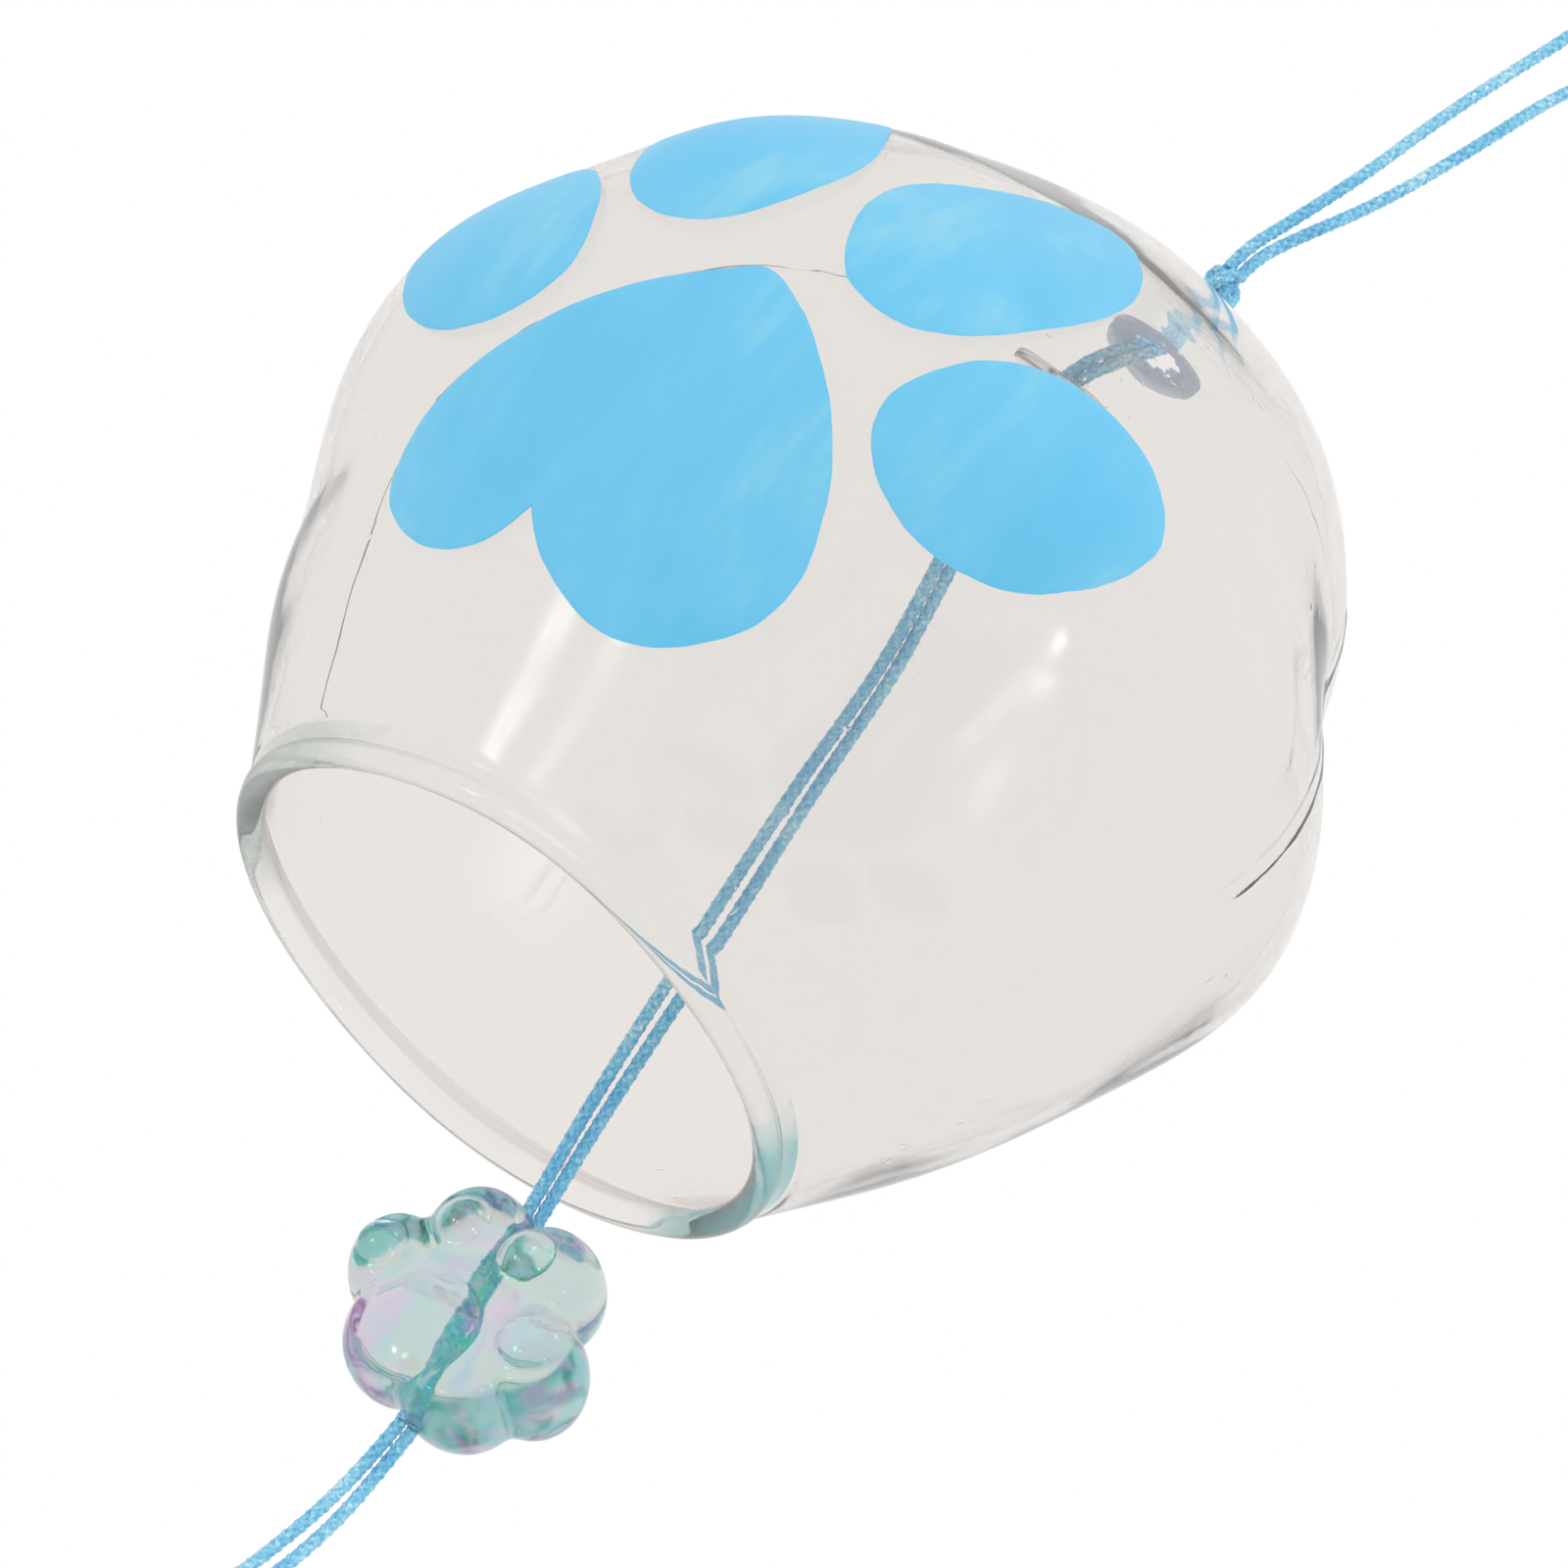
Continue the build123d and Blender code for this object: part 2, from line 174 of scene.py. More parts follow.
# Cord
cord_diameter = 0.00105
strand_offset = 0.00058
knot_height = 0.0031
knot_reach = 0.00046
knot_rise = 0.00098
LOOP_ROUTE = [
    (-0.00058, 0.004), (0.0006, 0.0082), (0.0028, 0.0168), (0.0044, 0.0254), (0.0064, 0.0336),
    (0.0081, 0.0399), (0.0089, 0.0444), (0.00915, 0.0482), (0.00915, 0.051475), (0.0113, 0.053625),
    (0.0145, 0.053625), (0.01665, 0.051475), (0.01665, 0.0482), (0.0152, 0.0434), (0.0109, 0.0366),
    (0.0078, 0.0244), (0.0051, 0.0153), (0.0021, 0.0082), (0.00058, 0.004),
]
NECK_ROUTE = [(0.006, 0.0823, 0.00058), (0.004, 0.0779, 0.0006), (0.0018, 0.0734, 0.00058)]
CLAPPER_ROUTE = [
    (0.0018, 0.064, 0.00058), (0.0025, 0.0585, 0.0006), (0.004, 0.0505, 0.00058),
    (0.0062, 0.041, 0.00062), (0.0073, 0.03, 0.00072), (0.0087, 0.017, 0.00086),
    (0.0108, -0.0005, 0.00074), (0.0127, -0.0124, 0.00058), (0.0142, -0.0225, 0.00058),
]
TAIL_ROUTE = [
    (0.0158, -0.036, 0.00062), (0.0156, -0.0415, 0.0008), (0.0147, -0.0473, 0.0009),
    (0.0136, -0.0514, 0.0007), (0.01345, -0.0536, 0.00058),
]
STRIP_LOOP_ROUTE = [
    (-0.00058, -0.0037), (-0.0022, -0.0062), (-0.0037, -0.0091), (-0.0037, -0.0122), (-0.00155, -0.01435),
    (0.00155, -0.01435), (0.0037, -0.0122), (0.0037, -0.0091), (0.0022, -0.0062), (0.00058, -0.0037),
]

# Camera: the photograph's, fitted to the mouth's ring and the outline
camera_azimuth = math.radians(30)
camera_elevation = math.radians(-27.22)
camera_roll = math.radians(40.98)
camera_distance = 0.7
camera_lens = 209.475
camera_sensor = 36.0
camera_target = (0.005652, 0.028692)


def at(sideways, height, depth=0.0):
    """The point for a place beside, above and behind the mouth's middle."""
    across = sideways - mouth_shift
    x = across * cord_plane_x - depth * cord_plane_y
    y = across * cord_plane_y + depth * cord_plane_x
    return Vector((x, y, height - mouth_drop))


def towards(azimuth, elevation):
    """The direction from the bell to a viewer or a lamp."""
    level = math.cos(elevation)
    return Vector((level * math.sin(azimuth), -level * math.cos(azimuth), math.sin(elevation)))


MOUTH = at(0, 0)


# Materials


class Nodes:
    """A node tree, with short calls for its nodes."""

    def __init__(self, tree):
        self.tree = tree

    def add(self, kind, inputs=(), **values):
        node = self.tree.nodes.new(kind)
        for key, value in values.items():
            setattr(node, key, value)
        for key, value in dict(inputs).items():
            self.put(node.inputs[key], value)
        return node

    def put(self, socket, value):
        if isinstance(value, bpy.types.NodeSocket):
            self.tree.links.new(value, socket)
        else:
            socket.default_value = value

    def place(self):
        return self.add("ShaderNodeTexCoord").outputs["Object"]

    def noise(self, scale, detail=3.0, roughness=0.5, vector=None, distortion=0.0):
        inputs = {"Scale": scale, "Detail": detail, "Roughness": roughness, "Distortion": distortion}
        inputs["Vector"] = vector or self.place()
        return self.add("ShaderNodeTexNoise", inputs).outputs["Fac"]

    def stretch(self, scale, rotation=(0, 0, 0)):
        inputs = {"Vector": self.place(), "Scale": scale, "Rotation": rotation}
        return self.add("ShaderNodeMapping", inputs).outputs["Vector"]

    def ramp(self, value, stops):
        node = self.add("ShaderNodeValToRGB", {"Fac": value})
        elements = node.color_ramp.elements
        while len(elements) < len(stops):
            elements.new(0.5)
        for element, (position, color) in zip(elements, stops):
            element.position = position
            element.color = (*color, 1)
        return node.outputs["Color"]

    def math(self, operation, first, second=0.0):
        node = self.add("ShaderNodeMath", operation=operation)
        self.put(node.inputs[0], first)
        self.put(node.inputs[1], second)
        return node.outputs[0]

    def spread(self, value, low, high, ends="To"):
        inputs = {"Value": value, f"{ends} Min": low, f"{ends} Max": high}
        return self.add("ShaderNodeMapRange", inputs).outputs["Result"]

    def spread_from(self, value, low, high):
        return self.spread(value, low, high, "From")

    def mix(self, factor, first, second):
        node = self.add("ShaderNodeMix", data_type="RGBA")
        shown = [socket for socket in node.inputs if socket.enabled]
        for socket, value in zip(shown, (factor, first, second)):
            self.put(socket, value)
        return next(socket for socket in node.outputs if socket.enabled)


class Surface(Nodes):
    """A material with its Principled shader."""

    def __init__(self, name):
        self.material = bpy.data.materials.new(name)
        self.material.use_nodes = True
        super().__init__(self.material.node_tree)
        self.shader = self.tree.nodes["Principled BSDF"]

    def set(self, **values):
        for key, value in values.items():
            self.put(self.shader.inputs[key.replace("_", " ")], value)

    def bump(self, height, distance, strength=1.0):
        inputs = {"Height": height, "Distance": distance, "Strength": strength}
        self.put(self.shader.inputs["Normal"], self.add("ShaderNodeBump", inputs).outputs["Normal"])


def glass_material():
    """Clear blown glass with a faint green cast, fine scratches and soft waves."""
    nodes = Surface("blown_glass")
    nodes.set(Base_Color=(0.97, 0.985, 0.98, 1), Roughness=0.0, IOR=glass_ior, Transmission_Weight=0.95)
    waves = nodes.noise(55.0, detail=2.0)
    scratches = nodes.noise(900.0, detail=3.0, vector=nodes.stretch((1.0, 1.0, 0.04), (0.5, 0.9, 0.2)))
    specks = nodes.noise(650.0, detail=1.0)
    marks = nodes.math("ADD", nodes.spread_from(scratches, 0.7, 0.78), nodes.spread_from(specks, 0.74, 0.8))
    nodes.bump(nodes.math("ADD", waves, nodes.math("MULTIPLY", marks, 0.06)), 0.0006, 0.25)
    return nodes.material


def rim_material():
    """The fire-rounded lip: the same glass, cloudier and greener at the two sides where it is thick, and
    greyed with painted shade where it is seen edge-on.
    """
    nodes = Surface("rim_glass")
    split = nodes.add("ShaderNodeSeparateXYZ", {"Vector": nodes.place()})
    share_x, share_y = LIP_ACROSS
    middle = lip_middle_share - share_x * MOUTH.x - share_y * MOUTH.y
    across = nodes.math("ADD", nodes.math("MULTIPLY", split.outputs["X"], share_x), middle)
    across = nodes.math("ADD", across, nodes.math("MULTIPLY", split.outputs["Y"], share_y))
    across = nodes.math("ADD", across, nodes.math("MULTIPLY", nodes.noise(300.0), lip_streaks))
    clear, green, teal = (0.965, 0.985, 0.98), (0.85, 0.94, 0.9), (0.27, 0.8, 0.84)
    color = nodes.ramp(across, [(0.02, green), (0.13, clear), (0.9, clear), (0.98, teal)])
    cloudy, see_through = (0.5,) * 3, (0.95,) * 3
    weights = [(0.02, cloudy), (0.13, see_through), (0.9, see_through), (0.98, cloudy)]
    # Painted shade: the lip's colour turns grey where it is seen edge-on, standing in for the dark edges of
    # glass.
    facing = nodes.add("ShaderNodeLayerWeight", {"Blend": 0.5}).outputs["Facing"]
    color = nodes.mix(nodes.spread_from(facing, 0.35, 0.85), color, (0.45, 0.46, 0.45, 1))
    nodes.set(Base_Color=color, Transmission_Weight=nodes.ramp(across, weights))
    nodes.set(Roughness=0.0, IOR=glass_ior)
    nodes.bump(nodes.noise(260.0, detail=2.0), 0.0002, 0.25)
    return nodes.material


def chipped_material():
    """The ground and chipped edge of the crown's hole: rough glass with a lilac cast."""
    nodes = Surface("chipped_glass")
    grain = nodes.noise(1400.0, detail=5.0, roughness=0.7)
    nodes.set(Base_Color=nodes.ramp(grain, [(0.3, (0.62, 0.74, 1.0)), (0.7, (0.88, 0.93, 1.0))]))
    nodes.set(Roughness=nodes.spread(grain, 0.2, 0.6), IOR=1.4, Transmission_Weight=0.4)
    nodes.bump(grain, 0.0004)
    return nodes.material


def paint_material():
    """Sky blue enamel, brushed on in strokes that leave paler, thinner streaks."""
    nodes = Surface("brushed_paint")
    broad = nodes.noise(95.0, detail=3.0, vector=nodes.stretch((1.0, 1.0, 0.4), (0, 0.6, 0)), distortion=0.4)
    strokes = nodes.noise(420.0, detail=4.0, roughness=0.6, vector=nodes.stretch((1, 1, 0.12), (0, 0.5, 0)))
    mixed = nodes.math("ADD", nodes.math("MULTIPLY", broad, 0.7), nodes.math("MULTIPLY", strokes, 0.3))
    blues = [(0.14, 0.59, 0.91), (0.17, 0.62, 0.92), (0.23, 0.66, 0.9), (0.33, 0.7, 0.86)]
    color = nodes.ramp(mixed, list(zip((0.42, 0.56, 0.64, 0.76), blues)))
    nodes.set(Base_Color=color, Roughness=nodes.spread(strokes, 0.28, 0.5), Specular_IOR_Level=0.4)
    nodes.bump(strokes, 0.00012, 0.6)
    return nodes.material


def cord_material():
    """Braided nylon: light blue filaments with a soft sheen and painted white glints, darker between the
    plaits.
    """
    nodes = Surface("braided_nylon")
    threads = nodes.noise(2600.0, detail=2.0, roughness=0.6)
    drift = nodes.noise(160.0, detail=2.0)
    mixed = nodes.math("ADD", nodes.math("MULTIPLY", threads, 0.6), nodes.math("MULTIPLY", drift, 0.4))
    # The last, near-white stop paints glints on the filaments: a painted highlight.
    blues = [(0.11, 0.47, 0.78), (0.22, 0.65, 0.92), (0.44, 0.82, 0.97), (0.92, 0.98, 1)]
    color = nodes.ramp(mixed, list(zip((0.36, 0.5, 0.59, 0.66), blues)))
    nodes.set(Base_Color=color, Roughness=nodes.spread(threads, 0.25, 0.5), Specular_IOR_Level=0.7)
    nodes.set(Sheen_Weight=0.35, Sheen_Roughness=0.4, Sheen_Tint=(0.8, 0.93, 1.0, 1))
    nodes.bump(threads, 0.00008, 0.7)
    return nodes.material


def core_material():
    """The cord's inner threads, which show dark between the strands of the braid."""
    nodes = Surface("cord_core")
    threads = nodes.noise(2200.0, detail=2.0)
    color = nodes.ramp(threads, [(0.4, (0.08, 0.3, 0.52)), (0.6, (0.16, 0.43, 0.66))])
    nodes.set(Base_Color=color, Roughness=0.8)
    return nodes.material


def bead_material():
    """Clear resin, tinted teal where it is thick, under a rainbow film that changes over the paw; the film's
    pink, yellow and teal are also painted into the resin's colour as painted reflection.
    """
    nodes = Surface("rainbow_resin")
    film = nodes.noise(130.0, detail=2.0, distortion=1.5)
    # Painted reflection: patches of the rainbow film's pink, yellow and teal are painted into the resin's
    # colour, on top of the shader's own thin film.
    painted_film_reflections = [
        (0.3, (1.0, 0.9, 0.96)), (0.42, (0.98, 0.98, 0.98)), (0.5, (0.97, 0.99, 0.9)),
        (0.58, (0.86, 0.97, 0.99)), (0.7, (0.95, 0.93, 1.0)),
    ]
    nodes.set(Base_Color=nodes.ramp(film, painted_film_reflections), Roughness=0.1, IOR=1.42, Transmission_Weight=0.94)
    nodes.set(Thin_Film_Thickness=nodes.spread(film, 300.0, 560.0), Thin_Film_IOR=2.2)
    nodes.bump(nodes.noise(260.0, detail=2.0), 0.0003, 0.3)
    volume = nodes.add("ShaderNodeVolumeAbsorption", {"Color": (0.45, 0.76, 0.84, 1), "Density": 75.0})
    nodes.put(nodes.tree.nodes["Material Output"].inputs["Volume"], volume.outputs["Volume"])
    return nodes.material


def disc_material():
    """Clear plastic, slightly smoky and hazed."""
    nodes = Surface("clear_disc")
    haze = nodes.noise(900.0, detail=3.0)
    nodes.set(Base_Color=(0.78, 0.78, 0.8, 1), Roughness=nodes.spread(haze, 0.03, 0.2), IOR=1.4)
    nodes.set(Transmission_Weight=1.0)
    nodes.bump(haze, 0.00006, 0.3)
    return nodes.material


def paper_material():
    """Pale blue card with long fibres and a wash that deepens towards the foot."""
    nodes = Surface("paper_strip")
    split = nodes.add("ShaderNodeSeparateXYZ", {"Vector": nodes.place()})
    low = at(*strip_knot_place).z - 0.11
    wash = nodes.spread_from(split.outputs["Z"], low, low + 0.09)
    cloud = nodes.math("MULTIPLY", nodes.noise(90.0, detail=4.0), 0.35)
    blues = [(0.15, (0.36, 0.66, 0.85)), (0.75, (0.82, 0.92, 0.96))]
    base = nodes.ramp(nodes.math("ADD", wash, cloud), blues)
    fibres = nodes.noise(700.0, detail=5.0, roughness=0.7, vector=nodes.stretch((1, 1, 0.1), (0, 0.7, 0)))
    color = nodes.mix(nodes.ramp(fibres, [(0.56, (0, 0, 0)), (0.7, (1, 1, 1))]), base, (0.93, 0.95, 0.95, 1))
    nodes.set(Base_Color=color, Roughness=0.85)
    nodes.bump(fibres, 0.00008, 0.6)
    return nodes.material


# Mesh helpers


def new_object(name, data):
    """An object in the scene for a mesh, a lamp or the camera."""
    piece = bpy.data.objects.new(name, data)
    bpy.context.scene.collection.objects.link(piece)
    return piece


def mesh_piece(name, points, faces, material, smooth=True):
    """A mesh object from points and faces."""
    mesh = bpy.data.meshes.new(name)
    mesh.from_pydata([tuple(p) for p in points], [], [tuple(f) for f in faces])
    mesh.materials.append(material)
    build = bmesh.new()
    build.from_mesh(mesh)
    bmesh.ops.recalc_face_normals(build, faces=build.faces)
    build.to_mesh(mesh)
    build.free()
    if smooth:
        mesh.shade_smooth()
    return new_object(name, mesh)


def grid_faces(rows, columns, closed_rows=False, closed_columns=True):
    """Faces of a grid, which can close round its rows and its columns."""
    faces = []
    for row in range(rows if closed_rows else rows - 1):
        first, second = row * columns, (row + 1) % rows * columns
        for column in range(columns if closed_columns else columns - 1):
            after = (column + 1) % columns
            faces.append((first + column, second + column, second + after, first + after))
    return faces


def smooth_curve(points, counts, closed=False):
    """Points along the cubic curve through some points, evenly by chord."""
    points = np.array(points, float)
    if closed:
        points = np.vstack([points[-3:], points, points[:4]])
    chord = np.concatenate([[0], np.cumsum(np.linalg.norm(np.diff(points, axis=0), axis=1))])
    step = np.diff(chord)
    size = len(points)
    matrix = np.zeros((size, size))
    right = np.zeros((size, points.shape[1]))
    matrix[0, 0] = matrix[-1, -1] = 1
    for i in range(1, size - 1):
        matrix[i, i - 1 : i + 2] = [step[i - 1], 2 * (step[i - 1] + step[i]), step[i]]
        slopes = (points[i + 1] - points[i]) / step[i] - (points[i] - points[i - 1]) / step[i - 1]
        right[i] = 6 * slopes
    bend = np.linalg.solve(matrix, right)
    low, high = (chord[3], chord[-4]) if closed else (chord[0], chord[-1])
    wanted = np.linspace(low, high, counts, endpoint=not closed)
    index = np.clip(np.searchsorted(chord, wanted, side="right") - 1, 0, size - 2)
    span = step[index][:, None]
    after = (wanted - chord[index])[:, None]
    before = span - after
    return (
        bend[index] * before**3 / (6 * span)
        + bend[index + 1] * after**3 / (6 * span)
        + (points[index] / span - bend[index] * span / 6) * before
        + (points[index + 1] / span - bend[index + 1] * span / 6) * after
    )


# The bell's surface


def bell_outline(count):
    """Radius and height of the round outline, from the mouth to the crown."""
    swell = belly_radius - mouth_radius
    lower = [(mouth_radius + share * swell, level * bell_height) for share, level in LOWER_PROFILE_SHARES]
    upper = [(share * belly_radius, level * bell_height) for share, level in UPPER_PROFILE_SHARES]
    return smooth_curve(lower + upper + [(crown_cap_radius, bell_height)], count)


def turn_from(turns, middle):
    """The signed turn from a direction to others, in degrees."""
    return (turns - middle + 180) % 360 - 180


def bumps(places, turns, heights, level_unit=1.0):
    """The sum of soft bumps in the wall, for turns in degrees."""
    total = 0
    for middle, level, rise, height, width in places:
        around = turn_from(turns, middle) / width
        total = total + rise * np.exp(-(((heights - level * level_unit) / height) ** 2) - around**2)
    return total


def bulge(turns, heights):
    """How far the toes and the palm push the wall out."""
    fade = np.clip((bell_height - heights) / bulge_fade, 0, 1)
    return bumps(BULGES, turns, heights, bell_height) * fade


def ripple(turns, heights, phase=0.0):
    """The slow unevenness of blown glass, from -1 to 1."""
    around = np.radians(turns)
    level = heights / bell_height
    first = np.sin(3 * around + 9 * level + 1.3 + phase)
    second = np.sin(5 * around - 14 * level + 0.4 + 2 * phase)
    third = np.sin(2 * around + 21 * level + 2.2 - phase)
    return (first + second + third) / 3


def crease(turns, heights):
    """The shallow groove between two toes."""
    share = (turns - CREASE_TURNS[0]) / (CREASE_TURNS[1] - CREASE_TURNS[0])
    middle = CREASE_HEIGHTS[0] + share * (CREASE_HEIGHTS[1] - CREASE_HEIGHTS[0])
    ends = np.clip(1 - (2 * share - 1) ** 2, 0, 1)
    return -crease_depth * ends * np.exp(-(((heights - middle) / crease_half_width) ** 2))


def swells(turns, heights):
    """How far the soft swells and dents move the wall out."""
    around = turn_from(turns, mouth_dent_turn) / mouth_dent_width
    low = np.exp(-((heights / mouth_dent_height) ** 2))
    return bumps(SWELLS, turns, heights) - mouth_dent * low * np.exp(-(around**2))


def swollen(radius, turns, heights):
    """The outer wall's radius with all its unevenness, from the round outline's."""
    above_lip = np.clip(heights / lip_zone, 0, 1)
    radius = radius + bulge(turns, heights) + ripple_rise * ripple(turns, heights) * above_lip
    return radius + crease(turns, heights) + swells(turns, heights) + wall_swell * above_lip


def surface_radius(turns, heights):
    """The outer wall's distance from its leaning middle line."""
    outline = bell_outline(400)
    return swollen(np.interp(heights, outline[:, 1], outline[:, 0]), turns, heights)


def lean(heights):
    """The middle line's offset along X and Y at some heights."""
    shift = bell_lean * heights / bell_height
    return shift * cord_plane_x, shift * cord_plane_y


def on_front(across, heights, lift):
    """Points on the front of the glass, lifted off it, that show at these places from the front."""
    shift_x, shift_y = lean(heights)
    turn = np.zeros_like(across)
    for _ in range(12):
        radius = surface_radius(np.degrees(turn), heights) + lift
        turn = np.arcsin(np.clip((across - shift_x) / radius, -0.999, 0.999))
    return np.stack([
        MOUTH.x + shift_x + radius * np.sin(turn),
        MOUTH.y + shift_y - radius * np.cos(turn),
        MOUTH.z + heights,
    ], axis=-1)


def camera():
    """The photograph's viewpoint."""
    back = towards(camera_azimuth, camera_elevation)
    right = Vector((math.cos(camera_azimuth), math.sin(camera_azimuth), 0))
    up = back.cross(right)
    across = math.cos(camera_roll) * right + math.sin(camera_roll) * up
    above = math.cos(camera_roll) * up - math.sin(camera_roll) * right
    target = at(*camera_target)
    data = bpy.data.cameras.new("camera")
    data.lens = camera_lens
    data.sensor_width = camera_sensor
    piece = new_object("camera", data)
    turn = Matrix((across, above, back)).transposed().to_4x4()
    piece.matrix_world = Matrix.Translation(target + camera_distance * back) @ turn
    bpy.context.scene.camera = piece


# Glass pieces


def bend_to_seams(turns, heights):
    """Turns that follow the wavy seams near each side, for a grid that is straight otherwise."""
    bent = turns + 0 * heights
    for side, seam in ((-90, LEFT_SEAM), (90, RIGHT_SEAM)):
        seam_heights, seam_turns = np.array(seam, float).T
        wanted = np.interp(heights * 1000, seam_heights, seam_turns) - side
        bent = bent + wanted * np.exp(-(((turns - side) / seam_reach) ** 2))
    return bent


def seam_ridges(columns, height):
    """The seams' fine ridges, uneven along their length and fading out at both ends."""
    across = (np.abs(columns) - 90) / seam_width
    foot = np.where(columns > 0, right_seam_foot, 0)
    fade = np.clip((height - foot) / seam_fade, 0, 1) * np.clip((seam_top - height) / seam_fade, 0, 1)
    uneven = 0.75 + 0.35 * np.sin(height * 1400) * np.sin(height * 531 + 1)
    return seam_rise * np.exp(-(across**2)) * fade * uneven


def wall_rows(outline, inset, columns):
    """Rows of a wall of the bell: outline points by turns, inset from the outer surface."""
    slope = np.gradient(outline, axis=0)
    slope /= np.linalg.norm(slope, axis=1)[:, None]
    radius, height = outline[:, :1], outline[:, 1:]
    turns = bend_to_seams(columns, height)
    reach = swollen(radius, turns, height)
    if inset:
        thickness = inset + wall_change * ripple(turns, height, 2.0)
    else:
        thickness = 0
        reach = reach + seam_ridges(columns, height)
    reach = reach - thickness * slope[:, 1:]
    level = height + thickness * slope[:, :1]
    shift = bell_lean * level / bell_height
    near = np.clip((hole_lean_radius - radius) / (hole_lean_radius - crown_hole_radius), 0, 1)
    shift = shift + crown_hole_offset * near**2 * (3 - 2 * near)
    angle = np.radians(turns)
    return np.stack([
        MOUTH.x + shift * cord_plane_x + reach * np.sin(angle),
        MOUTH.y + shift * cord_plane_y - reach * np.cos(angle),
        MOUTH.z + level + 0 * angle,
    ], axis=-1)


def lip_rows():
    """Rows round the rolled lip, which is neither quite round nor quite level."""
    turn = np.radians(TURNS)
    wobble = 0.00012 * np.sin(3 * turn + 0.6) + 0.00008 * np.sin(5 * turn)
    rows = []
    for angle in np.radians(np.linspace(*LIP_ARC, lip_rows_count)):
        reach = mouth_radius - glass_wall / 2 + lip_radius * math.cos(angle) + wobble + swells(TURNS, 0)
        rows.append(np.stack([
            MOUTH.x + reach * np.sin(turn),
            MOUTH.y - reach * np.cos(turn),
            MOUTH.z + lip_radius * math.sin(angle) + wobble,
        ], axis=-1))
    return np.array(rows)


def hole_edge_rows(inner, outer):
    """Rows over the ragged ledge of the crown's hole, from the inner wall to the outer."""
    turn = np.radians(TURNS)
    jag = 0.1 * np.sin(7 * turn + 1) + 0.07 * np.sin(13 * turn) + 0.05 * np.sin(23 * turn + 2)
    middle = (outer.mean(axis=0) + inner.mean(axis=0)) / 2
    middle[2] = 0
    rows = []
    for step in range(1, hole_edge_rows_count + 1):
        share = step / (hole_edge_rows_count + 1)
        row = inner * (1 - share) + outer * share
        narrowing = jag + 0.03 * np.sin(31 * turn + 5 * step) - hole_ledge_share
        narrowing = narrowing * math.sin(math.pi * share)
        flat = (row - middle) * [1, 1, 0]
        rows.append(middle + flat * (1 + narrowing)[:, None] + row * [0, 0, 1])
    return np.array(rows)


def bell_piece(glass, chipped, rim_glass):
    """The blown bell: outer wall, rolled lip, inner wall and the chipped edge of the crown's hole."""
    outline = bell_outline(wall_rows_count * 2)
    outline = outline[outline[:, 0] >= crown_hole_radius]
    outline = outline[outline[:, 1] > wall_foot]
    section = outline[np.linspace(0, len(outline) - 1, wall_rows_count).round().astype(int)]
    outer = wall_rows(section, 0, TURNS[None, :])[::-1]
    inner = wall_rows(section, glass_wall, TURNS[None, :])
    rows = np.concatenate([outer, lip_rows(), inner, hole_edge_rows(inner[-1], outer[0])])
    count, columns = rows.shape[:2]
    faces = grid_faces(count, columns, closed_rows=True)
    piece = mesh_piece("bell_glass", rows.reshape(-1, 3), faces, glass)
    piece.data.materials.append(chipped)
    piece.data.materials.append(rim_glass)
    lip_faces = range(wall_rows_count * columns, (wall_rows_count + lip_rows_count) * columns)
    chipped_end = 2 * columns
    chipped_start = (count - hole_edge_rows_count - 3) * columns
    for polygon in piece.data.polygons:
        if polygon.index >= chipped_start or polygon.index < chipped_end:
            polygon.material_index = 1
        elif polygon.index in lip_faces:
            polygon.material_index = 2
    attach(piece, "bell")
    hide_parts("glass_bell")


def pad_outline(shares, size, place, mirror=1, count=168):
    """A pad's closed edge as seen from the front, of one curve or several."""
    middle = (mirror * place[0] * belly_radius, place[1] * bell_height)
    if isinstance(shares[0], list):
        parts = [smooth_curve(part, count // 2 if len(part) > 5 else count // 8) for part in shares]
        curve = np.vstack([part[:-1] for part in parts])
    else:
        curve = smooth_curve(shares, count, closed=True)
    return curve * size * [mirror, 1] + middle


def pad_piece(name, node, edge, material, seed):
    """Paint on the glass: thick in the middle, thinning out at a slightly uneven brushed edge."""
    middle = edge.mean(axis=0)
    walk = np.linspace(0, 2 * math.pi, len(edge), endpoint=False)
    uneven = 0.003 * np.sin(9 * walk + seed) + 0.002 * np.sin(17 * walk + 2 * seed)
    uneven = uneven + 0.001 * np.sin(41 * walk)
    edge = middle + (edge - middle) * (1 + uneven)[:, None]
    shares = np.concatenate([np.linspace(0.04, paint_full_share, 22), [0.94, 0.965, 0.985, 1.0]])
    top, under = [], []
    for share in shares:
        flat = middle + (edge - middle) * share
        thinning = max(0.0, (share - paint_full_share) / 0.1)
        height = paint_thickness * math.sqrt(max(0.0, 1 - thinning**2))
        top.append(on_front(flat[:, 0], flat[:, 1], height))
        under.append(on_front(flat[:, 0], flat[:, 1], -paint_key))
    rows = np.array(top + under[::-1][1:])
    count, columns = rows.shape[:2]
    faces = grid_faces(count, columns)
    centre = [on_front(middle[:1], middle[1:], height)[0] for height in (paint_thickness, -paint_key)]
    points = np.concatenate([rows.reshape(-1, 3), centre])
    for row, tip in ((0, count * columns), (count - 1, count * columns + 1)):
        for column in range(columns):
            faces.append((row * columns + column, row * columns + (column + 1) % columns, tip))
    piece = mesh_piece(name, points, faces, material)
    piece.data.set_sharp_from_angle(angle=paint_sharp_angle)
    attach(piece, "bell")
    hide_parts(node)


